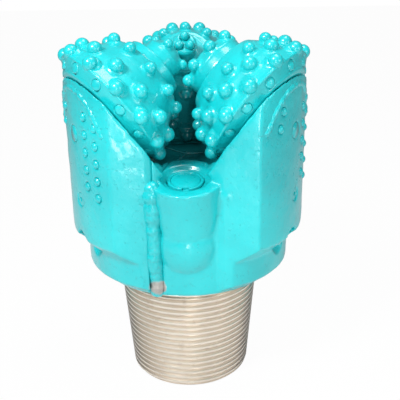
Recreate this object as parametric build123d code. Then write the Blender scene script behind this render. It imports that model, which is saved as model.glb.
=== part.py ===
"""Tricone drill bit: three welded head sections on an API pin, each carrying a rolling cone on a sealed bearing.

Frame: +Z runs from the pin towards the cones, and the origin is the centre of the make-up shoulder.
Each head section is modelled once with its journal in the XZ plane, then turned about Z to its place.
Cone pieces are drawn as (s, r): s along the journal axis, outward from the bit's centre line, and r from that axis.
Units are millimetres and degrees.
"""

from build123d import *
from math import cos, radians, sin
import os

# ---- the bit as a whole
GAUGE_DIAMETER = 250.8
JOURNAL_ANGLE = 35.0
AXES_CROSS_HEIGHT = 238.0
HEAD_AZIMUTHS = {1: 90.0, 2: 210.0, 3: 330.0}
SECTION_SPLIT = -78.5
SECTION_ANGLE = 120.0

# ---- API 6-5/8 REG pin
PIN_LENGTH = 127.0
PIN_TAPER = 1 / 6
PIN_SHOULDER_DIAMETER = 152.2
PIN_RELIEF_DIAMETER = 150.4
PIN_RELIEF_LENGTH = 12.7
PIN_NOSE_CHAMFER = 3.0
PIN_BORE_DIAMETER = 80.0
BORE_TOP = 66.0

# ---- body of the head sections
SHANK_RADIUS = 98.0
SHANK_BEVEL = 3.0
CORE_EDGE = 104.0
CROTCH_RADIUS = 62.0
CROTCH_HEIGHT = 119.0
FOOT_RADIUS = 107.5
FOOT_BOTTOM = 4.0
FOOT_TOP = 36.0
LEG_RADIUS = 122.5
LEG_TOP = 240.0
LEG_EDGE_HALF = 52.7
LEG_FACET_FOOT = (80.0, 66.0)
WELD_WIDTH = 12.0

# ---- cone shell: (s, r) where the lands lie
SHELL = [(8.0, 12.5), (17.0, 12.5), (20.0, 14.2), (32.2, 23.8), (48.0, 36.1), (64.4, 47.5), (81.9, 57.4)]
HEEL_RADIUS = 122.6
GAUGE_CORNER_S = 104.1
HEEL_END_S = 113.0
CONE_FACE = 114.5
CONE_RUNNING_GAP = 1.0
CONE_CLEARANCE = 3.0

# ---- bearing
JOURNAL_RADIUS = 31.0
JOURNAL_RUNNING_GAP = 0.3
ROLLER_DIAMETER = 9.0
ROLLER_LENGTH = 17.6
ROLLER_COUNT = 20
ROLLER_START = 84.2
ROLLER_END_PLAY = 0.2
ROLLER_PLAY = 0.2
RACE_STEP = 1.6
BALL_DIAMETER = 14.0
BALL_COUNT = 12
BALL_S = 72.0
BALL_PLAY = 0.2
SPINDLE_RADIUS = 16.0
SPINDLE_END = 50.0
SPINDLE_SHOULDER = 62.0
BUSH_WALL = 3.0
BUSH_PLAY = 0.15
THRUST_GAP = 0.1
THRUST_WASHER = 2.0
THRUST_BUTTON_RADIUS = 12.0
THRUST_BUTTON = 1.9
SEAL_SECTION = 6.8
SEAL_S = 109.0
SEAL_GAP = 0.25

# ---- hard-metal inserts: (radius, grip, stand)
INSERT_FIT = 0.02
INNER_INSERT = (6.0, 9.0, 9.0)
SECOND_INSERT = (7.15, 12.0, 9.0)
GAUGE_INSERT_RADIUS = 7.15
GAUGE_INSERT_GRIP = 12.0
NOSE_INSERT = (4.5, 6.0, 6.5)
SMALL_INSERT = (5.0, 7.0, 7.5)
HEEL_INSERT = (5.0, 7.0, 1.0)
BUTTON = (4.0, 6.0, 2.2)
GAUGE_ROW_S = 98.5
GAUGE_ROW_TILT = 100.0
SECOND_ROW_S = 84.0
SECOND_ROW_TILT = 69.5
ROW_COUNT = 12
HEEL_ROW_S = 108.5
# middle and nose rows of each cone: (s of the row, inserts, share of a pitch that it is turned by)
MIDDLE_ROW = {1: (49.1, 10, 0.0), 2: (60.6, 11, 0.0), 3: (71.8, 12, 0.0)}
NOSE_ROW = {1: (8.0, 3, 0.0), 2: (23.0, 4, 0.5), 3: (36.6, 8, 0.0)}
NOSE_ROW_RADIUS = 6.6
# each cone's profile inside its middle row: land (s, s), or neck (s, s, r)
NECKS = {
    1: [(17.0, 29.4, 10.6), (30.4, 40.6, 22.5)],
    2: [(30.0, 41.0, 20.5), (42.0, 52.0, 31.5)],
    3: [(44.0, 54.0, 31.5)],
}
NOSE_FACE = {1: 8.0, 2: 17.0, 3: 29.6}
NOSE_BEVEL = 2.5

# ---- ball hole and plug
PLUG_HOLE_RADIUS = 7.6
PLUG_GAP = 0.15
PLUG_AXIS_START = (72.0, -24.0)
PLUG_AXIS_SLOPE = 0.39
PLUG_INNER_REACH = 7.5
PLUG_WAIST_RADIUS = 4.5
PLUG_WAIST = (14.0, 58.0)
PLUG_LENGTH = 73.0

# ---- grease reservoir and fill plug
RESERVOIR_RADIUS = 15.0
RESERVOIR_MOUTH_R = 112.0
RESERVOIR_MOUTH_Z = 45.0
RESERVOIR_LEAN = 35.0
RESERVOIR_DEPTH = 50.0
CAP_THICKNESS = 7.0
CAP_RECESS = 8.0
CAP_GAP = 0.1
RING_SECTION = 2.4
RING_WIDTH = 3.0
DIAPHRAGM_WALL = 2.5
DIAPHRAGM_LENGTH = 26.0
DIAPHRAGM_NECK = 0.75
PASSAGE_RADIUS = 3.0
PASSAGE_MEETS = 46.0
FILL_PLUG_PLACE = (2.0, 92.7)
FILL_PLUG_RADIUS = 6.5
FILL_PLUG_DEPTH = 9.0
FILL_PLUG_STAND = -1.0
FILL_PLUG_KEY = 2.6

# ---- nozzle
BOSS_AZIMUTH = -60.0
BOSS_R = 80.0
BOSS_TOP = 119.0
BOSS_RADIUS = 36.0
BOSS_BOTTOM = 26.0
BOSS_BOTTOM_ROUND = 16.0
NOZZLE_LEAN = 12.0
NOZZLE_RADIUS = 17.5
NOZZLE_LENGTH = 28.0
NOZZLE_RECESS = 5.0
NOZZLE_GAP = 0.1
NOZZLE_THROAT = 6.4
NOZZLE_ENTRY = 12.0
PORT_LENGTH = 95.0
SEAL_GROOVE_UP = 9.0
NOZZLE_SEAL_SECTION = 3.6
PLUG_DISC = 2.0

# ---- shirttail buttons: a zigzag down the trailing side, and two by the leading edge
ZIGZAG_ANGLES = (10.3, 17.7)
ZIGZAG_TOP = 178.0
ZIGZAG_PITCH = 8.43
ZIGZAG_COUNT = 10
LEADING_BUTTONS = [(-11.5, 181.0), (-13.5, 165.0)]

COS_J = cos(radians(JOURNAL_ANGLE))
SIN_J = sin(radians(JOURNAL_ANGLE))
CROSSING = Vector(0, 0, AXES_CROSS_HEIGHT)
OUTWARD = Vector(COS_J, 0, -SIN_J)
UPWARD = Vector(SIN_J, 0, COS_J)
LEG_FACE = CONE_FACE + CONE_RUNNING_GAP
ROLLER_CENTRE = JOURNAL_RADIUS - RACE_STEP + ROLLER_PLAY + ROLLER_DIAMETER / 2
CONE_RACE = ROLLER_CENTRE + ROLLER_DIAMETER / 2 + ROLLER_PLAY
CONE_BORE = JOURNAL_RADIUS + JOURNAL_RUNNING_GAP
BALL_CENTRE = (JOURNAL_RADIUS + CONE_BORE) / 2
ROLLER_END = ROLLER_START + ROLLER_LENGTH + 2 * ROLLER_END_PLAY
BUSH_OUTER = SPINDLE_RADIUS + BUSH_PLAY + BUSH_WALL
CONE_FLOOR = SPINDLE_END - THRUST_GAP - THRUST_BUTTON
WASHER_SEAT = SPINDLE_SHOULDER - THRUST_GAP - THRUST_WASHER
UP = (Align.CENTER, Align.CENTER, Align.MIN)


def heel_r(s):
    """How far from the cone's axis the heel band lies at s; the band follows the wall of the hole."""
    return (HEEL_RADIUS - s * COS_J) / SIN_J


LANDS = SHELL + [(GAUGE_CORNER_S, heel_r(GAUGE_CORNER_S))]


def shell_r(s):
    """How far from the cone's axis the lands lie at s."""
    for (s1, r1), (s2, r2) in zip(LANDS, LANDS[1:]):
        if s1 <= s <= s2:
            return r1 + (r2 - r1) * (s - s1) / (s2 - s1)
    raise ValueError(s)


def at(s, r=0.0):
    """The point at s along the journal axis and r above it, in the head section's own plane."""
    return CROSSING + OUTWARD * s + UPWARD * r


JOURNAL_PLANE = Plane(origin=tuple(CROSSING), x_dir=tuple(OUTWARD), z_dir=tuple(OUTWARD.cross(UPWARD)))
JOURNAL_AXIS = Axis(tuple(CROSSING), tuple(OUTWARD))


def spun(points):
    """A solid turned about the journal axis from a closed outline of (s, r) points."""
    return revolve(JOURNAL_PLANE * make_face(Polyline(*points, close=True)), JOURNAL_AXIS, 360)


def ring_section(s, r, radius):
    """A torus about the journal axis."""
    return revolve(JOURNAL_PLANE * Pos(s, r) * Circle(radius), JOURNAL_AXIS, 360)


def rod(start, end, radius):
    """A round bar between two points."""
    base = Plane(origin=tuple(start), z_dir=tuple(end - start))
    return extrude(base * Circle(radius), (end - start).length)


# ---------------------------------------------------------------- inserts

def insert(radius, grip, stand):
    """A round-topped insert standing on z = 0, with its grip below."""
    straight = max(stand - radius, 0.0)
    rise = stand - straight
    bend = (radius**2 + rise**2) / (2 * rise)
    side = Polyline((0, stand), (0, -grip), (radius, -grip), (radius, straight))
    dome = RadiusArc((radius, straight), (0, stand), -bend)
    return revolve(Plane.XZ * make_face([*side.edges(), dome]), Axis.Z, 360)


def socket(radius, grip):
    """The blind hole that an insert is pressed into."""
    return Pos(0, 0, -grip) * Cylinder(radius + INSERT_FIT, grip * 3, align=UP)


def row_places(s, r, tilt, count, offset):
    """Places round the cone's axis at (s, r), with Z leaning away from the nose direction by tilt."""
    places = []
    for k in range(count):
        turn = radians(360.0 * (k + offset) / count)
        away = UPWARD * cos(turn) + JOURNAL_PLANE.z_dir * sin(turn)
        normal = away * sin(radians(tilt)) - OUTWARD * cos(radians(tilt))
        places.append(Plane(origin=tuple(CROSSING + OUTWARD * s + away * r), z_dir=tuple(normal)).location)
    return places


def gauge_stand():
    """How far a gauge insert stands out so that its dome just reaches the gauge diameter."""
    base = GAUGE_ROW_S * COS_J + shell_r(GAUGE_ROW_S) * SIN_J
    toward = -cos(radians(GAUGE_ROW_TILT)) * COS_J + sin(radians(GAUGE_ROW_TILT)) * SIN_J
    return GAUGE_INSERT_RADIUS + (GAUGE_DIAMETER / 2 - GAUGE_INSERT_RADIUS - base) / toward


def cone_rows(n):
    """Each row of cone n: name -> (places, (radius, grip, stand))."""
    land = 90.0 - JOURNAL_ANGLE
    rows = {}
    gauge = (GAUGE_INSERT_RADIUS, GAUGE_INSERT_GRIP, gauge_stand())
    places = row_places(GAUGE_ROW_S, shell_r(GAUGE_ROW_S), GAUGE_ROW_TILT, ROW_COUNT, 0.0)
    rows["gauge_inserts"] = (places, gauge)
    places = row_places(SECOND_ROW_S, shell_r(SECOND_ROW_S), SECOND_ROW_TILT, ROW_COUNT, 0.5)
    rows["second_row_inserts"] = (places, SECOND_INSERT)
    places = row_places(HEEL_ROW_S, heel_r(HEEL_ROW_S), 180.0 - land, ROW_COUNT, 0.5)
    rows["heel_inserts"] = (places, HEEL_INSERT)
    s, count, offset = MIDDLE_ROW[n]
    rows["middle_inserts"] = (row_places(s, shell_r(s), land, count, offset), INNER_INSERT)
    s, count, offset = NOSE_ROW[n]
    if n == 1:
        rows["nose_inserts"] = (row_places(s, NOSE_ROW_RADIUS, 0.0, count, offset), NOSE_INSERT)
    elif n == 2:
        rows["nose_inserts"] = (row_places(s, shell_r(s), land, count, offset), SMALL_INSERT)
    else:
        rows["nose_inserts"] = (row_places(s, shell_r(s), land, count, offset), INNER_INSERT)
    return rows


# ---------------------------------------------------------------- cones

def shell_outline(n):
    """The outer profile of cone n, from its nose to the gauge corner."""
    face = NOSE_FACE[n]
    points = [(face, 0.0), (face, shell_r(face) - NOSE_BEVEL), (face + NOSE_BEVEL, shell_r(face + NOSE_BEVEL))]
    for low, high, r in NECKS[n]:
        points += [(low - 0.8, shell_r(low - 0.8)), (low, r), (high, r), (high + 0.8, shell_r(high + 0.8))]
    last = points[-1][0]
    return points + [point for point in LANDS if point[0] > last + 0.5]


def cone_cavity():
    """The bored inside of a cone: nose bore, thrust seat, ball race, roller race and seal bore."""
    nose_bore = BUSH_OUTER + INSERT_FIT
    bore = spun([
        (CONE_FLOOR, 0.0), (CONE_FLOOR, nose_bore), (WASHER_SEAT, nose_bore), (WASHER_SEAT, CONE_BORE),
        (ROLLER_START, CONE_BORE), (ROLLER_START, CONE_RACE), (CONE_FACE + 5.0, CONE_RACE),
        (CONE_FACE + 5.0, 0.0),
    ])
    return bore + ring_section(BALL_S, BALL_CENTRE, BALL_DIAMETER / 2 + BALL_PLAY)


def cone_shell(n, rows):
    """Cone n: a forged shell with sockets for its inserts, bored for its bearing."""
    heel_end = heel_r(HEEL_END_S)
    outline = shell_outline(n) + [(HEEL_END_S, heel_end), (CONE_FACE, heel_end - 2.0), (CONE_FACE, 0.0)]
    sockets = [place * socket(radius, grip) for places, (radius, grip, _) in rows.values() for place in places]
    return spun(outline) - cone_cavity() - sockets


# ---------------------------------------------------------------- bearing

def journal():
    """The journal of a head section: roller race, ball race and nose spindle."""
    race = JOURNAL_RADIUS - RACE_STEP
    turned = spun([
        (SPINDLE_END, 0.0), (SPINDLE_END, SPINDLE_RADIUS - 1.0), (SPINDLE_END + 1.0, SPINDLE_RADIUS),
        (SPINDLE_SHOULDER, SPINDLE_RADIUS), (SPINDLE_SHOULDER, JOURNAL_RADIUS), (ROLLER_START, JOURNAL_RADIUS),
        (ROLLER_START, race), (ROLLER_END, race), (ROLLER_END, JOURNAL_RADIUS), (LEG_FACE + 6.0, JOURNAL_RADIUS),
        (LEG_FACE + 6.0, 0.0),
    ])
    return turned - ring_section(BALL_S, BALL_CENTRE, BALL_DIAMETER / 2 + BALL_PLAY)


def around_journal(piece, count):
    """Copies of a piece spaced evenly round the journal axis."""
    return [piece.rotate(JOURNAL_AXIS, 360.0 * k / count) for k in range(count)]


def rollers():
    start = ROLLER_START + ROLLER_END_PLAY
    one = rod(at(start, ROLLER_CENTRE), at(start + ROLLER_LENGTH, ROLLER_CENTRE), ROLLER_DIAMETER / 2)
    return around_journal(one, ROLLER_COUNT)


def balls():
    return around_journal(Pos(*at(BALL_S, BALL_CENTRE)) * Sphere(BALL_DIAMETER / 2), BALL_COUNT)


def nose_bush():
    inner = SPINDLE_RADIUS + BUSH_PLAY
    return spun([(CONE_FLOOR, inner), (CONE_FLOOR, BUSH_OUTER), (WASHER_SEAT, BUSH_OUTER), (WASHER_SEAT, inner)])


def thrust_washer():
    end = WASHER_SEAT + THRUST_WASHER
    inner, outer = BUSH_OUTER + 0.5, CONE_BORE - 0.3
    return spun([(WASHER_SEAT, inner), (WASHER_SEAT, outer), (end, outer), (end, inner)])


def thrust_button():
    end = CONE_FLOOR + THRUST_BUTTON
    return spun([(CONE_FLOOR, 0.0), (CONE_FLOOR, THRUST_BUTTON_RADIUS), (end, THRUST_BUTTON_RADIUS), (end, 0.0)])


def cone_seal():
    middle = (JOURNAL_RADIUS + CONE_RACE) / 2
    half = (CONE_RACE - JOURNAL_RADIUS) / 2 - SEAL_GAP
    width = SEAL_SECTION / 2
    corners = [(-1, -1), (-1, 1), (1, 1), (1, -1)]
    section = make_face(Polyline(*[(SEAL_S + a * width, middle + b * half) for a, b in corners], close=True))
    section = fillet(section.vertices(), 1.5)
    return revolve(JOURNAL_PLANE * section, JOURNAL_AXIS, 360)


# ---------------------------------------------------------------- bores of the head section

PLUG_START = at(*PLUG_AXIS_START)
PLUG_DIRECTION = (OUTWARD + UPWARD * PLUG_AXIS_SLOPE).normalized()
RESERVOIR_DIRECTION = Vector(-sin(radians(RESERVOIR_LEAN)), 0, cos(radians(RESERVOIR_LEAN)))
RESERVOIR_MOUTH = Vector(RESERVOIR_MOUTH_R, 0, RESERVOIR_MOUTH_Z)


def plug_hole(radius, start, end):
    """A length of the ball hole, measured from the ball race towards the back of the leg."""
    return rod(PLUG_START + PLUG_DIRECTION * start, PLUG_START + PLUG_DIRECTION * end, radius)


def reservoir_disc(low, high, radius, inner=0.0):
    """A disc or ring in the grease reservoir, between two depths from its mouth."""
    disc = rod(RESERVOIR_MOUTH + RESERVOIR_DIRECTION * low, RESERVOIR_MOUTH + RESERVOIR_DIRECTION * high, radius)
    return disc - reservoir_disc(low, high, inner) if inner else disc


def nozzle_disc(low, high, radius, inner=0.0):
    """A disc or ring on the nozzle's axis, between two heights over the mouth of its bore."""
    turn, lean = radians(BOSS_AZIMUTH), radians(NOZZLE_LEAN)
    jet = (sin(lean) * cos(turn), sin(lean) * sin(turn), cos(lean))
    place = Plane(origin=(BOSS_R * cos(turn), BOSS_R * sin(turn), BOSS_TOP), z_dir=jet).offset(low).location
    disc = place * Cylinder(radius, high - low, align=UP)
    return disc - place * Cylinder(inner, high - low, align=UP) if inner else disc


def leg_place(angle, height):
    """A place on the outside of the leg, with Z outward."""
    turn = radians(angle)
    origin = (LEG_RADIUS * cos(turn), LEG_RADIUS * sin(turn), height)
    return Plane(origin=origin, z_dir=(cos(turn), sin(turn), 0)).location


def button_places():
    zigzag = [(ZIGZAG_ANGLES[k % 2], ZIGZAG_TOP - ZIGZAG_PITCH * k) for k in range(ZIGZAG_COUNT)]
    return [leg_place(angle, height) for angle, height in zigzag + LEADING_BUTTONS]


# ---------------------------------------------------------------- head section

def sector(start, end, radius, low, high):
    """A wedge about Z between two azimuths."""
    middle = radians((start + end) / 2)
    reach = radius / cos(radians((end - start) / 2))
    corner_a = (reach * cos(radians(start)), reach * sin(radians(start)))
    corner_b = (reach * cos(radians(end)), reach * sin(radians(end)))
    front = (reach * cos(middle), reach * sin(middle))
    face = make_face(Polyline((0, 0), corner_a, front, corner_b, close=True))
    return extrude(Pos(0, 0, low) * face, high - low)


def turned_core():
    """The pin and core: shoulder, relief, taper and through bore."""
    nose = (PIN_SHOULDER_DIAMETER - PIN_LENGTH * PIN_TAPER) / 2
    relief = PIN_RELIEF_DIAMETER / 2
    relief_end = (PIN_SHOULDER_DIAMETER - PIN_RELIEF_LENGTH * PIN_TAPER) / 2
    bore = PIN_BORE_DIAMETER / 2
    outline = Polyline(
        (bore, -PIN_LENGTH), (nose - PIN_NOSE_CHAMFER, -PIN_LENGTH), (nose, -PIN_LENGTH + PIN_NOSE_CHAMFER),
        (relief_end, -PIN_RELIEF_LENGTH), (relief, -PIN_RELIEF_LENGTH), (relief, 0.0),
        (SHANK_RADIUS - SHANK_BEVEL, 0.0), (SHANK_RADIUS, SHANK_BEVEL), (SHANK_RADIUS, CORE_EDGE),
        (CROTCH_RADIUS, CROTCH_HEIGHT), (0.0, CROTCH_HEIGHT), (0.0, BORE_TOP), (bore * 0.6, BORE_TOP),
        (bore, BORE_TOP - bore * 0.4), close=True,
    )
    return revolve(Plane.XZ * make_face(outline), Axis.Z, 360)


def leg():
    """The leg: its foot, sloping shoulder, round back and side facets, cut square to the journal on top."""
    edge_x = (LEG_RADIUS**2 - LEG_EDGE_HALF**2) ** 0.5
    foot_x, foot_y = LEG_FACET_FOOT
    lean = (LEG_EDGE_HALF - foot_y) / (edge_x - foot_x)
    far = LEG_RADIUS + 8.0
    far_y = LEG_EDGE_HALF + (far - edge_x) * lean
    plan = Polyline((foot_x - 30, foot_y), (foot_x, foot_y), (far, far_y), (far, -far_y), (foot_x, -foot_y),
                    (foot_x - 30, -foot_y), close=True)
    blank = extrude(Pos(0, 0, FOOT_BOTTOM) * make_face(plan), LEG_TOP - FOOT_BOTTOM)
    step = FOOT_RADIUS - SHANK_RADIUS
    slope = LEG_RADIUS - FOOT_RADIUS
    back = Polyline(
        (0.0, FOOT_BOTTOM), (SHANK_RADIUS, FOOT_BOTTOM), (FOOT_RADIUS, FOOT_BOTTOM + step * 0.7),
        (FOOT_RADIUS, FOOT_TOP), (LEG_RADIUS, FOOT_TOP + slope), (LEG_RADIUS, LEG_TOP), (0.0, LEG_TOP), close=True)
    blank &= revolve(Plane.XZ * make_face(back), Axis.Z, 360)
    face = Plane(origin=tuple(at(LEG_FACE)), z_dir=tuple(-OUTWARD))
    return blank - extrude(face * Rectangle(600, 600), 300)


def boss():
    """The nozzle boss, leaning with its jet and rounded off at the bottom."""
    length = (BOSS_TOP - BOSS_BOTTOM) / cos(radians(NOZZLE_LEAN))
    column = nozzle_disc(-length, 0.0, BOSS_RADIUS)
    return fillet(column.edges().sort_by(Axis.Z)[:1], BOSS_BOTTOM_ROUND)


def cone_room():
    """The space that a cone and its inserts sweep, with clearance."""
    stand = max(SECOND_INSERT[2], gauge_stand()) + CONE_CLEARANCE
    corner = heel_r(GAUGE_CORNER_S) + CONE_CLEARANCE
    return spun([
        (0.0, 0.0), (0.0, 24.0 + stand), (SECOND_ROW_S - 8.0, shell_r(SECOND_ROW_S - 8.0) + stand + 1.0),
        (GAUGE_ROW_S + 9.0, shell_r(GAUGE_ROW_S) + stand + 0.5), (GAUGE_CORNER_S + 5.0, corner),
        (LEG_FACE, heel_r(HEEL_END_S) + CONE_CLEARANCE), (LEG_FACE, 0.0),
    ])


def weld_prism(angle):
    """A square bar on its edge, down the outside of the core where two sections meet."""
    height = (SHANK_BEVEL + CORE_EDGE) / 2
    bar = Box(WELD_WIDTH, WELD_WIDTH, CORE_EDGE - SHANK_BEVEL)
    return Rot(0, 0, angle) * Pos(SHANK_RADIUS, 0, height) * Rot(0, 0, 45) * bar


def whole_body():
    """All three sections' outside, before they are parted."""
    body = turned_core()
    for azimuth in HEAD_AZIMUTHS.values():
        body += (leg() + boss()).rotate(Axis.Z, azimuth)
    hollow = Cylinder(PIN_BORE_DIAMETER / 2, BORE_TOP - PIN_BORE_DIAMETER / 5, align=UP)
    body -= hollow
    for azimuth in HEAD_AZIMUTHS.values():
        body -= cone_room().rotate(Axis.Z, azimuth)
    return body


def head_section(body):
    """One head section, in its own frame, from the whole body turned back by its azimuth."""
    first = body.rotate(Axis.Z, -HEAD_AZIMUTHS[1])
    split = SECTION_SPLIT
    part = first & sector(split, split + SECTION_ANGLE, GAUGE_DIAMETER, -PIN_LENGTH - 1, LEG_TOP)
    part += journal()
    part -= plug_hole(PLUG_HOLE_RADIUS, -PLUG_INNER_REACH, 120.0)
    part -= reservoir_disc(-60.0, RESERVOIR_DEPTH, RESERVOIR_RADIUS)
    reservoir_end = RESERVOIR_MOUTH + RESERVOIR_DIRECTION * (RESERVOIR_DEPTH - 2)
    part -= rod(reservoir_end, PLUG_START + PLUG_DIRECTION * PASSAGE_MEETS, PASSAGE_RADIUS)
    part -= nozzle_disc(-NOZZLE_LENGTH - NOZZLE_RECESS, 30.0, NOZZLE_RADIUS)
    part -= nozzle_disc(-PORT_LENGTH, 0.0, NOZZLE_ENTRY)
    part -= [place * socket(BUTTON[0], BUTTON[1]) for place in button_places()]
    part -= leg_place(*FILL_PLUG_PLACE) * socket(FILL_PLUG_RADIUS, FILL_PLUG_DEPTH)
    part -= weld_prism(split)
    part -= weld_prism(split + SECTION_ANGLE)
    return part.solids().sort_by(SortBy.VOLUME)[-1]


def weld_seam():
    """The weld that fills the V between two head sections."""
    angle = SECTION_SPLIT + SECTION_ANGLE
    return weld_prism(angle) & Cylinder(SHANK_RADIUS, 400)


# ---------------------------------------------------------------- small pieces of the head section

def ball_plug():
    """The pin that keeps the balls in their race, waisted so that grease can pass."""
    radius = PLUG_HOLE_RADIUS - PLUG_GAP
    pin = plug_hole(radius, -PLUG_INNER_REACH + 0.5, PLUG_LENGTH)
    waist = plug_hole(radius + 1.0, *PLUG_WAIST) - plug_hole(PLUG_WAIST_RADIUS, *PLUG_WAIST)
    pin -= waist
    pin -= ring_section(BALL_S, BALL_CENTRE, BALL_DIAMETER / 2 + 2 * BALL_PLAY)
    room = spun([(SPINDLE_END, JOURNAL_RADIUS - 0.3), (SPINDLE_END, 60), (ROLLER_START, 60),
                 (ROLLER_START, JOURNAL_RADIUS - 0.3)])
    return (pin - room).solids().sort_by(SortBy.VOLUME)[-1]


def ball_plug_weld():
    """The weld bead that closes the ball hole, dressed flush with the leg."""
    return plug_hole(PLUG_HOLE_RADIUS, PLUG_LENGTH, PLUG_LENGTH + 30.0) & Cylinder(LEG_RADIUS, 600)


def nozzle():
    """The jet nozzle: a sleeve with a bell entry, a throat and a groove for its seal ring."""
    low, high = -NOZZLE_LENGTH - NOZZLE_RECESS, -NOZZLE_RECESS
    groove = low + SEAL_GROOVE_UP
    body = nozzle_disc(low, high, NOZZLE_RADIUS - NOZZLE_GAP)
    body -= nozzle_disc(low, low + NOZZLE_LENGTH * 0.55, NOZZLE_ENTRY)
    body -= nozzle_disc(low, high, NOZZLE_THROAT)
    return body - nozzle_disc(groove, groove + NOZZLE_SEAL_SECTION, NOZZLE_RADIUS, NOZZLE_RADIUS - 3.2)


def nozzle_seal():
    low = -NOZZLE_LENGTH - NOZZLE_RECESS + SEAL_GROOVE_UP
    return nozzle_disc(low + 0.1, low + NOZZLE_SEAL_SECTION - 0.1, NOZZLE_RADIUS - 0.05, NOZZLE_RADIUS - 3.1)


def nozzle_snap_ring():
    """A split ring that holds the nozzle in its bore."""
    low = -NOZZLE_RECESS
    ring = nozzle_disc(low, low + RING_SECTION, NOZZLE_RADIUS - NOZZLE_GAP, NOZZLE_RADIUS - RING_WIDTH)
    return ring - split_cut(BOSS_R, BOSS_TOP)


def split_cut(r, height):
    """A small block across the outer side of the nozzle's mouth, where its split ring parts."""
    turn = radians(BOSS_AZIMUTH)
    reach = r + NOZZLE_RADIUS
    return Pos(reach * cos(turn), reach * sin(turn), height - 8.0) * Rot(0, 0, BOSS_AZIMUTH) * Box(12, 6, 16)


def nozzle_plug():
    """The disc that closes the jet until the bit is run."""
    return nozzle_disc(-NOZZLE_RECESS, -NOZZLE_RECESS + PLUG_DISC, NOZZLE_RADIUS - RING_WIDTH - 0.4)


def reservoir_cap():
    end = CAP_RECESS + CAP_THICKNESS
    cap = reservoir_disc(CAP_RECESS, end, RESERVOIR_RADIUS - CAP_GAP)
    return cap - reservoir_disc(CAP_RECESS, CAP_RECESS + CAP_THICKNESS * 0.4, RESERVOIR_RADIUS * 0.45)


def reservoir_snap_ring():
    return reservoir_disc(CAP_RECESS - RING_SECTION, CAP_RECESS, RESERVOIR_RADIUS - CAP_GAP,
                          RESERVOIR_RADIUS - RING_WIDTH)


def grease_diaphragm():
    """A rubber cup that separates the grease from the mud outside."""
    low = CAP_RECESS + CAP_THICKNESS
    neck = RESERVOIR_RADIUS * DIAPHRAGM_NECK
    cup = reservoir_disc(low, low + DIAPHRAGM_WALL, RESERVOIR_RADIUS - CAP_GAP)
    cup += reservoir_disc(low, low + DIAPHRAGM_LENGTH, neck)
    return cup - reservoir_disc(low, low + DIAPHRAGM_LENGTH - DIAPHRAGM_WALL, neck - DIAPHRAGM_WALL)


def fill_plug():
    """The screwed plug of the grease fill hole, with a hexagon socket."""
    key = Pos(0, 0, FILL_PLUG_DEPTH * 0.4) * extrude(RegularPolygon(FILL_PLUG_KEY, 6), FILL_PLUG_DEPTH)
    plug = Cylinder(FILL_PLUG_RADIUS - INSERT_FIT, FILL_PLUG_DEPTH + FILL_PLUG_STAND, align=UP) - key
    return leg_place(*FILL_PLUG_PLACE) * Pos(0, 0, -FILL_PLUG_DEPTH) * plug


# ---------------------------------------------------------------- write the pieces

def save(name, pieces, azimuth):
    """Writes one node, turned to its head section's azimuth."""
    solids = [solid.rotate(Axis.Z, azimuth) for piece in pieces for solid in piece.solids()]
    export_step(Compound(children=solids) if len(solids) > 1 else solids[0], f"parts/{name}.step")


def save_three(name, piece):
    """Writes one node that holds a copy of a small piece for each head section."""
    copies = [solid.rotate(Axis.Z, turn) for turn in HEAD_AZIMUTHS.values() for solid in piece.solids()]
    export_step(Compound(children=copies), f"parts/{name}.step")


def main():
    os.makedirs("parts", exist_ok=True)
    head = head_section(whole_body())
    buttons = [place * insert(*BUTTON) for place in button_places()]
    for n, azimuth in HEAD_AZIMUTHS.items():
        save(f"head_section_{n}", [head], azimuth)
        save(f"shirttail_buttons_{n}", buttons, azimuth)
        save(f"roller_set_{n}", rollers(), azimuth)
        save(f"ball_set_{n}", balls(), azimuth)
        rows = cone_rows(n)
        save(f"cone_{n}", [cone_shell(n, rows)], azimuth)
        for row, (places, sizes) in rows.items():
            save(f"{row}_{n}", [place * insert(*sizes) for place in places], azimuth)
        save(f"nose_bush_{n}", [nose_bush()], azimuth)
        save(f"thrust_washer_{n}", [thrust_washer()], azimuth)
        save(f"thrust_button_{n}", [thrust_button()], azimuth)
        save(f"cone_seal_{n}", [cone_seal()], azimuth)
        save(f"jet_nozzle_{n}", [nozzle()], azimuth)
        save(f"grease_diaphragm_{n}", [grease_diaphragm()], azimuth)
    save_three("ball_plugs", ball_plug())
    save_three("ball_plug_welds", ball_plug_weld())
    save_three("reservoir_caps", reservoir_cap())
    save_three("reservoir_snap_rings", reservoir_snap_ring())
    save_three("fill_plugs", fill_plug())
    save_three("nozzle_seals", nozzle_seal())
    save_three("nozzle_snap_rings", nozzle_snap_ring())
    save_three("nozzle_plugs", nozzle_plug())
    save_three("weld_seams", weld_seam())


main()
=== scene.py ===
"""Dresses the tricone drill bit: enamelled forgings and inserts, a bare threaded pin, welds and a studio."""

import math
import random

import bpy
from mathutils import Matrix, Vector


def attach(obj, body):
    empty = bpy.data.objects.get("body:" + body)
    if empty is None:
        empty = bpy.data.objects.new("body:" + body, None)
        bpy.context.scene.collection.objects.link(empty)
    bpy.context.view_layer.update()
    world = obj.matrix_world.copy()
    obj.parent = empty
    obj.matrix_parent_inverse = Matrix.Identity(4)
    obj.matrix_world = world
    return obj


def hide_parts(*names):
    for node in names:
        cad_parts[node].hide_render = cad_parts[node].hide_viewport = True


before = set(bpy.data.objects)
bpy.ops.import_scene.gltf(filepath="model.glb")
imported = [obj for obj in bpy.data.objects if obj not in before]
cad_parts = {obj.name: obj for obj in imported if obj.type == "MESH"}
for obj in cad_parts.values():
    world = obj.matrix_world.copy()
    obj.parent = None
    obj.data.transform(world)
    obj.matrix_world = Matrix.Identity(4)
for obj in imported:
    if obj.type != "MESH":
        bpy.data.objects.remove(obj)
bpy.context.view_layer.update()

MM = 0.001
JOURNAL_ANGLE = math.radians(35.0)
AXES_CROSS = 238.0
LEGS = {1: 90.0, 2: 210.0, 3: 330.0}
LEG_RADIUS = 122.5
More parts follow.
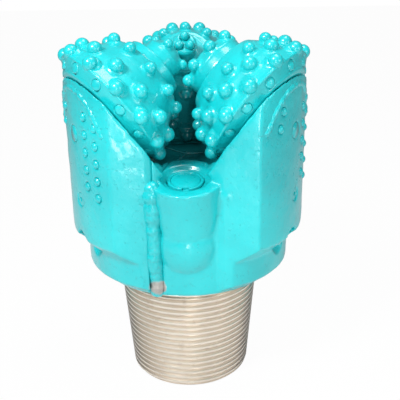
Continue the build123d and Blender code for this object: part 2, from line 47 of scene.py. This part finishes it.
PIN_LENGTH = 127.0
PIN_BORE_RADIUS = 40.0
PIN_NECK_RADIUS = 75.2
THREAD_PITCH = 6.35
THREAD_TOP_RADIUS = 76.1
THREAD_TURNS = 22
SPLITS = (11.5, 131.5, 251.5)
# the bosses stand halfway between the legs and lean outward with their jets
BOSS_FROM_LEG = -60.0
BOSS_R = 80.0
BOSS_TOP = 119.0
BOSS_LEAN = 12.0
MERGE = 0.00001
scatter = random.Random(7)


# ---------------------------------------------------------------- finishes

class Value:
    """A shader socket that sums can be written with."""

    def __init__(self, finish, socket):
        self.finish = finish
        self.socket = socket

    def sum(self, operation, *values):
        return self.finish.node("ShaderNodeMath", {"operation": operation}, dict(enumerate(values)))

    def __add__(self, other):
        return self.sum("ADD", self, other)

    def __sub__(self, other):
        return self.sum("SUBTRACT", self, other)

    def __rsub__(self, other):
        return self.sum("SUBTRACT", other, self)

    def __mul__(self, other):
        return self.sum("MULTIPLY", self, other)

    __radd__ = __add__
    __rmul__ = __mul__

    def over(self, start, end):
        """0 up to start and 1 from end, with a soft step between."""
        settings = {"interpolation_type": "SMOOTHSTEP"}
        return self.finish.node("ShaderNodeMapRange", settings, {0: self, 1: start, 2: end, 3: 0.0, 4: 1.0})


class Finish:
    """One procedural material, built on the piece's own coordinates."""

    def __init__(self, name):
        self.material = bpy.data.materials.new(name)
        self.material.use_nodes = True
        self.tree = self.material.node_tree
        self.tree.nodes.clear()
        self.place = self.node("ShaderNodeTexCoord", {}, {}, "Object")

    def node(self, kind, settings, inputs, output=0):
        """Makes a node, sets it up, then fills or links its sockets."""
        made = self.tree.nodes.new(kind)
        for key, value in settings.items():
            setattr(made, key, value)
        for key, value in inputs.items():
            if isinstance(value, Value):
                self.tree.links.new(value.socket, made.inputs[key])
            else:
                made.inputs[key].default_value = value
        return Value(self, made.outputs[output])

    def noise(self, scale, detail=3.0, place=None):
        inputs = {"Vector": place or self.place, "Scale": scale, "Detail": detail}
        return self.node("ShaderNodeTexNoise", {}, inputs)

    def stretched(self, x, y, z):
        return self.node("ShaderNodeMapping", {}, {"Vector": self.place, "Scale": (x, y, z)})

    def blend(self, share, first, second):
        return self.node("ShaderNodeMix", {"data_type": "RGBA"}, {0: share, 6: first, 7: second}, 2)

    def distance(self, point):
        """How far the surface is from a point, in metres."""
        inputs = {0: self.place, 1: point}
        return self.node("ShaderNodeVectorMath", {"operation": "DISTANCE"}, inputs, "Value")

    def bump(self, height, depth, strength=1.0):
        return self.node("ShaderNodeBump", {}, {"Height": height, "Distance": depth, "Strength": strength})

    def done(self, **sockets):
        """Puts the surface on the material's output and returns the material."""
        named = {key.replace("_", " "): value for key, value in sockets.items()}
        surface = self.node("ShaderNodeBsdfPrincipled", {}, named)
        out = self.tree.nodes.new("ShaderNodeOutputMaterial")
        self.tree.links.new(surface.socket, out.inputs["Surface"])
        return self.material


def around(radius, angle, height):
    """A point in metres from a radius, an azimuth in degrees and a height, both in millimetres."""
    turn = math.radians(angle)
    return Vector((radius * math.cos(turn), radius * math.sin(turn), height)) * MM


def turquoise_enamel(name, grain, depth):
    """Sprayed turquoise enamel over a forging's skin, ground off at the feet of the welds, with painted
    shade darkening it round the crotch between the legs.
    """
    finish = Finish(name)
    cloud = finish.noise(11.0, 3.0)
    skin = finish.noise(grain, 5.0)
    peel = finish.noise(520.0, 1.0)
    pits = finish.noise(grain * 3.1, 2.0).over(0.62, 0.72)
    runs = finish.noise(38.0, 2.0, finish.stretched(1.0, 1.0, 0.16)).over(0.55, 0.75)
    colour = finish.blend(cloud.over(0.35, 0.7), (0.004, 0.500, 0.530, 1.0), (0.008, 0.610, 0.635, 1.0))
    colour = finish.blend(pits * 0.25, colour, (0.006, 0.330, 0.360, 1.0))
    # painted shade: the colour turns dark near the crotch between the legs, where the cones and bosses shade
    # it
    crotch_painted_shade = 1.0 - finish.distance((0.0, 0.0, 0.122)).over(0.040, 0.078)
    colour = finish.blend(crotch_painted_shade * 0.75, colour, (0.001, 0.120, 0.135, 1.0))
    bare = 0.0
    for angle in SPLITS:
        near = finish.distance(around(98.5, angle + 1.5, 11.0)) + finish.noise(170.0) * 0.006
        bare = bare + (1.0 - near.over(0.0095, 0.0125))
    bare = bare.sum("MINIMUM", bare, 1.0)
    ridges = finish.noise(60.0, 1.0, finish.stretched(0.4, 0.4, 6.0))
    steel = finish.blend(ridges, (0.34, 0.33, 0.31, 1.0), (0.62, 0.60, 0.56, 1.0))
    height = skin + runs * 0.25 + peel * 0.06 - pits * 0.5 + ridges * bare * 1.5
    return finish.done(
        Base_Color=finish.blend(bare, colour, steel),
        Metallic=bare * 0.9,
        Roughness=0.20 + cloud * 0.10 + skin * 0.10 + bare * 0.12,
        Coat_Weight=0.55 - bare * 0.55,
        Coat_Roughness=0.10,
        Normal=finish.bump(height, depth),
    )


def turned_steel(name, colour, roughness, rings):
    """Bare machined steel with fine tool marks round the bit's axis."""
    finish = Finish(name)
    marks = finish.noise(rings, 2.0, finish.stretched(0.02, 0.02, 1.0))
    cloud = finish.noise(26.0, 3.0)
    stain = finish.noise(75.0, 4.0).over(0.58, 0.78)
    darker = tuple(part * 0.80 for part in colour[:3]) + (1.0,)
    base = finish.blend(marks * 0.5 + cloud * 0.5, darker, colour)
    return finish.done(
        Base_Color=finish.blend(stain * 0.35, base, (0.42, 0.33, 0.25, 1.0)),
        Metallic=1.0,
        Roughness=roughness + marks * 0.12 + stain * 0.15,
        Normal=finish.bump(marks + cloud * 0.2, 0.00012),
    )


def ground_steel(name, colour, roughness):
    """Ground bearing steel or bronze with a light cloud of polish."""
    finish = Finish(name)
    cloud = finish.noise(90.0, 4.0)
    scratch = finish.noise(900.0, 2.0, finish.stretched(0.2, 0.2, 1.0))
    darker = tuple(part * 0.85 for part in colour[:3]) + (1.0,)
    return finish.done(
        Base_Color=finish.blend(cloud, darker, colour),
        Metallic=1.0,
        Roughness=roughness + cloud * 0.08 + scratch * 0.05,
        Normal=finish.bump(scratch, 0.00003),
    )


def moulded_rubber():
    """Black moulded rubber with a dull bloom."""
    finish = Finish("moulded_rubber")
    bloom = finish.noise(60.0, 4.0)
    grain = finish.noise(1500.0, 2.0)
    return finish.done(
        Base_Color=finish.blend(bloom, (0.020, 0.020, 0.022, 1.0), (0.045, 0.045, 0.048, 1.0)),
        Roughness=0.58 + bloom * 0.15,
        Normal=finish.bump(grain, 0.00005),
    )


FORGING = turquoise_enamel("enamel_on_forging", 120.0, 0.0005)
SMOOTH_ENAMEL = turquoise_enamel("enamel_on_machined_steel", 210.0, 0.00022)
BEAD_ENAMEL = turquoise_enamel("enamel_on_weld", 260.0, 0.0006)
PIN_STEEL = turned_steel("bare_pin_steel", (0.92, 0.83, 0.73, 1.0), 0.24, 2600.0)
BEARING = ground_steel("ground_bearing_steel", (0.62, 0.62, 0.61, 1.0), 0.18)
BRONZE = ground_steel("bearing_bronze", (0.72, 0.50, 0.26, 1.0), 0.26)
RUBBER = moulded_rubber()


# ---------------------------------------------------------------- workshop

def alone(obj):
    """Selects one object and nothing else."""
    bpy.ops.object.select_all(action="DESELECT")
    obj.select_set(True)
    bpy.context.view_layer.objects.active = obj
    return obj


def edit(obj):
    alone(obj)
    bpy.ops.object.mode_set(mode="EDIT")
    bpy.ops.mesh.select_all(action="SELECT")


def leave():
    bpy.ops.object.mode_set(mode="OBJECT")


def primitive(add, place, **settings):
    """Adds one of Blender's primitives at the origin and carries its mesh to its place."""
    bpy.ops.object.select_all(action="DESELECT")
    add(**settings)
    obj = bpy.context.object
    obj.data.transform(place)
    return obj


def ellipsoid(azimuth, r, z, sizes, **settings):
    """A ball stretched along r, across it and upward, in millimetres."""
    turn = Matrix.Rotation(math.radians(azimuth), 4, "Z")
    place = turn @ Matrix.Translation((r * MM, 0, z * MM)) @ Matrix.Diagonal((*sizes, 1))
    return primitive(bpy.ops.mesh.primitive_uv_sphere_add, place, radius=MM, **settings)


def copied(node, name):
    """A piece's own copy of a CAD node's mesh, merged into one skin."""
    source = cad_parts[node]
    obj = bpy.data.objects.new(name, source.data.copy())
    bpy.context.scene.collection.objects.link(obj)
    edit(obj)
    bpy.ops.mesh.remove_doubles(threshold=MERGE)
    leave()
    return obj


def modify(obj, kind, **settings):
    """Adds a modifier and applies it."""
    alone(obj)
    modifier = obj.modifiers.new(kind.title(), kind)
    for key, value in settings.items():
        setattr(modifier, key, value)
    bpy.ops.object.modifier_apply(modifier=modifier.name)
    return obj


def finished(obj, material, body, *nodes, angle=None):
    """Gives a piece its finish, its shading and the body it moves with."""
    obj.data.materials.clear()
    obj.data.materials.append(material)
    alone(obj)
    if angle is None:
        bpy.ops.object.shade_smooth()
    else:
        bpy.ops.object.shade_smooth_by_angle(angle=math.radians(angle))
    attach(obj, body)
    if nodes:
        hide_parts(*nodes)
    return obj


def joined(first, *others):
    alone(first)
    for other in others:
        other.select_set(True)
    bpy.ops.object.join()
    return first


def skinned(obj, voxel, passes, texture, lumps, middle):
    """Melts a piece into one closed skin, softens it and gives it the lumps of a texture."""
    modify(obj, "REMESH", mode="VOXEL", voxel_size=voxel * MM)
    modify(obj, "SMOOTH", factor=0.5, iterations=passes)
    modify(obj, "DISPLACE", texture=texture, texture_coords="LOCAL", strength=lumps * MM, mid_level=middle)
    return obj


def cloud_texture(name, size):
    texture = bpy.data.textures.new(name, "CLOUDS")
    texture.noise_scale = size
    texture.noise_depth = 2
    return texture


LUMPS = cloud_texture("forging_lumps", 0.016)
RIPPLES = cloud_texture("weld_ripples", 0.006)


def drawn(name, points):
    """A line through (r, z) points in the XZ plane, drawn by extruding one vertex."""
    bpy.ops.object.select_all(action="DESELECT")
    bpy.ops.mesh.primitive_plane_add(size=0.001, location=(0, 0, 0))
    obj = bpy.context.object
    obj.name = name
    bpy.ops.object.mode_set(mode="EDIT")
    bpy.ops.mesh.merge(type="CENTER")
    bpy.ops.transform.translate(value=(points[0][0] * MM, 0, points[0][1] * MM))
    for (r1, z1), (r2, z2) in zip(points, points[1:]):
        step = ((r2 - r1) * MM, 0, (z2 - z1) * MM)
        bpy.ops.mesh.extrude_region_move(TRANSFORM_OT_translate={"value": step})
    leave()
    return obj


def screwed(obj, steps, lift=0.0, turns=1):
    """Sweeps a drawn line round Z, climbing by lift at each turn."""
    modify(
        obj, "SCREW", axis="Z", angle=math.tau, steps=steps, render_steps=steps,
        screw_offset=lift * MM, iterations=turns, use_merge_vertices=True, merge_threshold=MERGE,
    )
    edit(obj)
    bpy.ops.mesh.remove_doubles(threshold=MERGE)
    bpy.ops.mesh.normals_make_consistent(inside=False)
    leave()
    return obj


def trimmed(obj, height, keep_above):
    """Cuts a piece square to Z and closes the cut."""
    edit(obj)
    bpy.ops.mesh.bisect(
        plane_co=(0, 0, height * MM), plane_no=(0, 0, 1), use_fill=True,
        clear_inner=keep_above, clear_outer=not keep_above,
    )
    leave()
    return obj


# ---------------------------------------------------------------- places on the cones

def journal_frame(number, s, r, turn, tilt):
    """A place at s along a cone's axis and r from it, with Z leaning from the nose direction by tilt."""
    spin = Matrix.Rotation(math.radians(LEGS[number]), 4, "Z")
    outward = Vector((math.cos(JOURNAL_ANGLE), 0, -math.sin(JOURNAL_ANGLE)))
    upward = Vector((math.sin(JOURNAL_ANGLE), 0, math.cos(JOURNAL_ANGLE)))
    side = outward.cross(upward)
    away = upward * math.cos(turn) + side * math.sin(turn)
    normal = away * math.sin(math.radians(tilt)) - outward * math.cos(math.radians(tilt))
    place = (Vector((0, 0, AXES_CROSS)) + outward * s + away * r) * MM
    return spin @ Matrix.Translation(place) @ normal.to_track_quat("Z", "Y").to_matrix().to_4x4()


# the cones' lands, from nose to gauge corner: (s, r)
SHELL = [
    (8.0, 12.5), (17.0, 12.5), (20.0, 14.2), (32.2, 23.8), (48.0, 36.1), (64.4, 47.5), (81.9, 57.4),
    (104.1, 65.1),
]


def shell_r(s):
    """How far from the cone's axis the lands lie at s."""
    for (s1, r1), (s2, r2) in zip(SHELL, SHELL[1:]):
        if s1 <= s <= s2:
            return r1 + (r2 - r1) * (s - s1) / (s2 - s1)
    return SHELL[-1][1]


GAUGE_ROW = (98.5, 100.0, 12, 0.0, 7.15)
SECOND_ROW = (84.0, 69.5, 12, 0.5, 7.15)
# each cone's rows: (s, tilt, count, share of a pitch, insert radius)
ROWS = {
    1: [GAUGE_ROW, SECOND_ROW, (49.1, 55.0, 10, 0.0, 6.0)],
    2: [GAUGE_ROW, SECOND_ROW, (60.6, 55.0, 11, 0.0, 6.0), (23.0, 55.0, 4, 0.5, 5.0)],
    3: [GAUGE_ROW, SECOND_ROW, (71.8, 55.0, 12, 0.0, 6.0), (36.6, 55.0, 8, 0.0, 6.0)],
}
# raised rings round each cone, at the heel band's two edges and under the gauge row: (s, r, half thickness)
RIDGES = [(103.5, 64.2, 1.4), (112.4, 52.2, 1.3), (91.5, 60.0, 1.3)]


def paint_fillet(place, radius):
    """The ring of paint that gathers round an insert where it leaves the cone."""
    return primitive(
        bpy.ops.mesh.primitive_cone_add, place, vertices=24,
        radius1=(radius + 2.0) * MM, radius2=(radius + 0.1) * MM, depth=3.4 * MM,
    )


def cones():
    """Each cone's shell under its enamel, with the fillets of paint and the raised rings."""
    for number, rows in ROWS.items():
        cone = copied(f"cone_{number}", f"enamelled_cone_{number}")
        raised = []
        for s, tilt, count, share, radius in rows:
            for k in range(count):
                turn = math.tau * (k + share) / count
                raised.append(paint_fillet(journal_frame(number, s, shell_r(s), turn, tilt), radius))
        for s, r, thick in RIDGES:
            raised.append(primitive(
                bpy.ops.mesh.primitive_torus_add, journal_frame(number, s, 0.0, 0.0, 0.0),
                major_segments=144, minor_segments=12, major_radius=r * MM, minor_radius=thick * MM,
            ))
        joined(cone, *raised)
        skinned(cone, 1.1, 3, LUMPS, 0.4, 0.5)
        finished(cone, SMOOTH_ENAMEL, f"cone_{number}", f"cone_{number}")


# ---------------------------------------------------------------- body

# forged webs between a leg's flank and the bosses beside it: (degrees from the leg, r, z, sizes)
WEBS = [
    (35.5, 93.0, 104.0, (14.0, 13.0, 20.0)),
    (33.5, 86.0, 114.0, (20.0, 13.0, 17.0)),
    (35.0, 76.0, 116.0, (18.0, 10.0, 14.0)),
]
# the swelling at the foot of each boss: (r, z, sizes)
BOSS_FOOT = (77.0, 52.0, (29.0, 34.0, 38.0))


def counterbored(leg, azimuth):
    """Opens the boss's top round its jet."""
    place = (
        Matrix.Rotation(math.radians(azimuth), 4, "Z")
        @ Matrix.Translation((BOSS_R * MM, 0, BOSS_TOP * MM))
        @ Matrix.Rotation(math.radians(BOSS_LEAN), 4, "Y")
    )
    tool = primitive(
        bpy.ops.mesh.primitive_cone_add, place, vertices=64,
        radius1=21.0 * MM, radius2=27.0 * MM, depth=9.0 * MM,
    )
    modify(leg, "BOOLEAN", operation="DIFFERENCE", object=tool, solver="EXACT")
    bpy.data.objects.remove(tool)


def forgings():
    """Each head section above the shoulder, under its enamel."""
    for number, azimuth in LEGS.items():
        leg = copied(f"head_section_{number}", f"enamelled_head_section_{number}")
        trimmed(leg, 0.0, True)
        boss_azimuth = azimuth + BOSS_FROM_LEG
        counterbored(leg, boss_azimuth)
        webs = []
        for side in (-1, 1):
            for angle, r, z, sizes in WEBS:
                webs.append(ellipsoid(azimuth + side * angle, r, z, sizes, segments=32, ring_count=20))
        foot = ellipsoid(boss_azimuth, *BOSS_FOOT, segments=48, ring_count=32)
        joined(leg, foot, *webs)
        skinned(leg, 1.45, 5, LUMPS, 0.9, 0.5)
        finished(leg, FORGING, "body", f"head_section_{number}")


def threaded_pin():
    """The bare pin: relief under the shoulder, a tapered right-hand thread and a bevelled end."""
    top, taper = THREAD_TOP_RADIUS, 1.0 / 12.0
    depth, crest, root = 3.3, 1.7, 1.5
    flank = (THREAD_PITCH - crest - root) / 2
    foot = -THREAD_TURNS * THREAD_PITCH
    profile = [
        (top, foot), (top, foot + crest), (top - depth, foot + crest + flank),
        (top - depth, foot + crest + flank + root), (top, foot + THREAD_PITCH),
    ]
    thread = screwed(drawn("threaded_pin", profile), 144, THREAD_PITCH, THREAD_TURNS)
    trimmed(thread, -132.0, True)
    trimmed(thread, -2.0, False)
    modify(thread, "SIMPLE_DEFORM", deform_method="TAPER", deform_axis="Z", factor=130.0 * taper / top)
    neck, bore, end = PIN_NECK_RADIUS, PIN_BORE_RADIUS, top - PIN_LENGTH * taper
    outline = [
        (bore, -PIN_LENGTH), (end - 3.0, -PIN_LENGTH), (end, -PIN_LENGTH + 3.0), (top - 14.0 * taper, -14.0),
        (neck - 2.2, -12.7), (neck - 2.2, -11.0), (neck - 1.4, -9.5), (bore, -9.5),
    ]
    envelope = screwed(drawn("pin_envelope", outline + outline[:1]), 144)
    modify(thread, "BOOLEAN", operation="INTERSECT", object=envelope, solver="EXACT")
    bpy.data.objects.remove(envelope)
    collar_line = [
        (bore, -12.0), (neck - 3.4, -12.0), (neck - 0.6, -12.0), (neck, -11.4), (neck, -1.0),
        (neck + 1.2, -0.05), (neck + 1.2, 0.4), (bore, 0.4),
    ]
    collar = screwed(drawn("pin_neck", collar_line + collar_line[:1]), 144)
    joined(thread, collar)
    finished(thread, PIN_STEEL, "body", angle=28)


def beads(points, sizes):
    """Overlapping flattened balls of weld metal along a path."""
    laid = []
    for point, size in zip(points, sizes):
        wobble = Vector([scatter.uniform(-0.4, 0.4) * MM for _ in range(3)])
        place = Matrix.Translation(point + wobble) @ Matrix.Diagonal((1, 1, 0.9, 1))
        laid.append(primitive(
            bpy.ops.mesh.primitive_uv_sphere_add, place, segments=16, ring_count=10, radius=size * MM,
        ))
    return laid


def fused(name, pieces, *nodes):
    """Melts pieces of weld metal into one rippled weld under the enamel."""
    weld = joined(*pieces)
    weld.name = name
    skinned(weld, 1.1, 3, RIPPLES, 0.9, 0.6)
    return finished(weld, BEAD_ENAMEL, "body", *nodes)


def seam_welds():
    """The three welds that join the head sections."""
    laid = [copied("weld_seams", "seam_welds")]
    for angle in SPLITS:
        points, sizes = [], []
        for k in range(43):
            height = 4.0 + 2.6 * k
            stand = min(max((height - 18.0) / 5.0, 0.0), 3.4)
            points.append(around(95.0 + stand + scatter.uniform(-0.3, 0.3), angle, height))
            top_lumps = 1.2 * math.sin(height * 0.55) + 1.4 if height > 84 else 0.0
            sizes.append(7.4 + 0.4 * math.sin(height * 0.9) + top_lumps)
        laid += beads(points, sizes)
    fused("seam_welds", laid, "weld_seams")


def shirttail_arches():
    """A bead of hard metal laid along the top edge of each leg's back."""
    for number, azimuth in LEGS.items():
        points, sizes = [], []
        for k in range(57):
            across = -46.0 + 92.0 * k / 56
            angle = math.degrees(math.asin(across / LEG_RADIUS))
            height = 203.0 - 0.0125 * across**2 - 0.0000028 * across**4
            points.append(around(LEG_RADIUS - 2.6, azimuth + angle, height))
            sizes.append(4.5 + 0.3 * math.sin(k * 1.3))
        fused(f"shirttail_arch_{number}", beads(points, sizes))


BEVELLED = ("jet_nozzle", "reservoir_cap", "nozzle_plugs", "fill_plugs", "nozzle_snap", "reservoir_snap")


def carried_over():
    """Every CAD node that is still shown gets its finish, merged edges and smooth shading."""
    finishes = [
        (("roller_set", "ball_set", "ball_plugs"), BEARING),
        (("nose_bush", "thrust_washer", "thrust_button"), BRONZE),
        (("cone_seal", "grease_diaphragm", "nozzle_seals"), RUBBER),
    ]
    for name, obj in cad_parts.items():
        material = SMOOTH_ENAMEL
        for starts, finish in finishes:
            if name.startswith(starts):
                material = finish
        obj.data.materials.clear()
        obj.data.materials.append(material)
        weld = obj.modifiers.new("Weld", "WELD")
        weld.merge_threshold = MERGE
        if name.startswith(BEVELLED):
            edge = obj.modifiers.new("Bevel", "BEVEL")
            edge.width = 0.0004
            edge.segments = 2
            edge.limit_method = "ANGLE"
            edge.angle_limit = math.radians(40)
        alone(obj)
        bpy.ops.object.shade_smooth_by_angle(angle=math.radians(35))


# ---------------------------------------------------------------- studio

def floor():
    """A floor that is white to the camera and keeps a faint shadow."""
    bpy.ops.object.select_all(action="DESELECT")
    bpy.ops.mesh.primitive_plane_add(size=8.0, location=(0, 1.5, -PIN_LENGTH * MM - 0.0002))
    plane = bpy.context.object
    plane.name = "studio_floor"
    finish = Finish("pale_floor")
    shade = finish.noise(1.5, 2.0)
    pale = finish.blend(shade, (0.80, 0.80, 0.80, 1.0), (0.84, 0.84, 0.84, 1.0))
    matt = finish.node("ShaderNodeBsdfPrincipled", {}, {"Base Color": pale, "Roughness": 0.6})
    glow = finish.node("ShaderNodeEmission", {}, {"Color": (1, 1, 1, 1), "Strength": 1.0})
    seen = finish.node("ShaderNodeLightPath", {}, {}, "Is Camera Ray")
    surface = finish.node("ShaderNodeMixShader", {}, {0: seen * 0.97, 1: matt, 2: glow})
    out = finish.tree.nodes.new("ShaderNodeOutputMaterial")
    finish.tree.links.new(surface.socket, out.inputs["Surface"])
    plane.data.materials.append(finish.material)


def surroundings():
    """A soft pale light all round, and plain white where the camera sees past the object."""
    world = bpy.data.worlds.new("studio_light")
    bpy.context.scene.world = world
    world.use_nodes = True
    tree = world.node_tree
    tree.nodes.clear()
    path = tree.nodes.new("ShaderNodeLightPath")
    soft = tree.nodes.new("ShaderNodeBackground")
    soft.inputs["Color"].default_value = (0.94, 0.97, 1.0, 1)
    soft.inputs["Strength"].default_value = 0.22
    bright = tree.nodes.new("ShaderNodeBackground")
    bright.inputs["Color"].default_value = (1, 1, 1, 1)
    mix = tree.nodes.new("ShaderNodeMixShader")
    either = tree.nodes.new("ShaderNodeMath")
    either.operation = "MAXIMUM"
    output = tree.nodes.new("ShaderNodeOutputWorld")
    tree.links.new(path.outputs["Is Camera Ray"], either.inputs[0])
    tree.links.new(path.outputs["Is Transmission Ray"], either.inputs[1])
    tree.links.new(either.outputs[0], mix.inputs[0])
    tree.links.new(soft.outputs[0], mix.inputs[1])
    tree.links.new(bright.outputs[0], mix.inputs[2])
    tree.links.new(mix.outputs[0], output.inputs["Surface"])


# (name, place, sides, power in watts), in metres
LAMPS = [
    ("key_softbox", (-0.60, -0.80, 1.05), (0.30, 0.30), 17.0),
    ("top_softbox", (0.25, -0.1, 1.35), (0.5, 0.5), 6.5),
    ("fill_softbox", (1.0, -0.7, 0.35), (0.5, 0.5), 3.0),
    ("strip_light", (0.10, -1.15, 0.10), (0.07, 1.0), 4.0),
]
LAMPS_AIM = Vector((0, 0, 0.08))


def lamps():
    for name, place, sides, power in LAMPS:
        data = bpy.data.lights.new(name, "AREA")
        data.shape = "RECTANGLE"
        data.size, data.size_y = sides
        data.energy = power
        lamp = bpy.data.objects.new(name, data)
        lamp.location = place
        lamp.rotation_euler = (LAMPS_AIM - Vector(place)).to_track_quat("-Z", "Y").to_euler()
        bpy.context.scene.collection.objects.link(lamp)


CAMERA_PLACE = Vector((0.0135, -0.6744, 0.3155))
CAMERA_PITCH = math.radians(20.28)
CAMERA_ROLL = math.radians(0.82)
CAMERA_LENS = 59.5


def camera():
    """Looks along +Y and a little down, rolled slightly."""
    forward = Vector((0, math.cos(CAMERA_PITCH), -math.sin(CAMERA_PITCH)))
    level_up = Vector((0, math.sin(CAMERA_PITCH), math.cos(CAMERA_PITCH)))
    level_right = Vector((1, 0, 0))
    right = level_right * math.cos(CAMERA_ROLL) - level_up * math.sin(CAMERA_ROLL)
    up = level_right * math.sin(CAMERA_ROLL) + level_up * math.cos(CAMERA_ROLL)
    data = bpy.data.cameras.new("bench_camera")
    data.lens = CAMERA_LENS
    data.sensor_width = 36.0
    data.clip_start = 0.01
    obj = bpy.data.objects.new("bench_camera", data)
    turn = Matrix((right, up, -forward)).transposed().to_4x4()
    obj.matrix_world = Matrix.Translation(CAMERA_PLACE) @ turn
    bpy.context.scene.collection.objects.link(obj)
    bpy.context.scene.camera = obj


carried_over()
forgings()
cones()
threaded_pin()
seam_welds()
shirttail_arches()
floor()
surroundings()
lamps()
camera()
bpy.context.scene.view_settings.view_transform = "Standard"
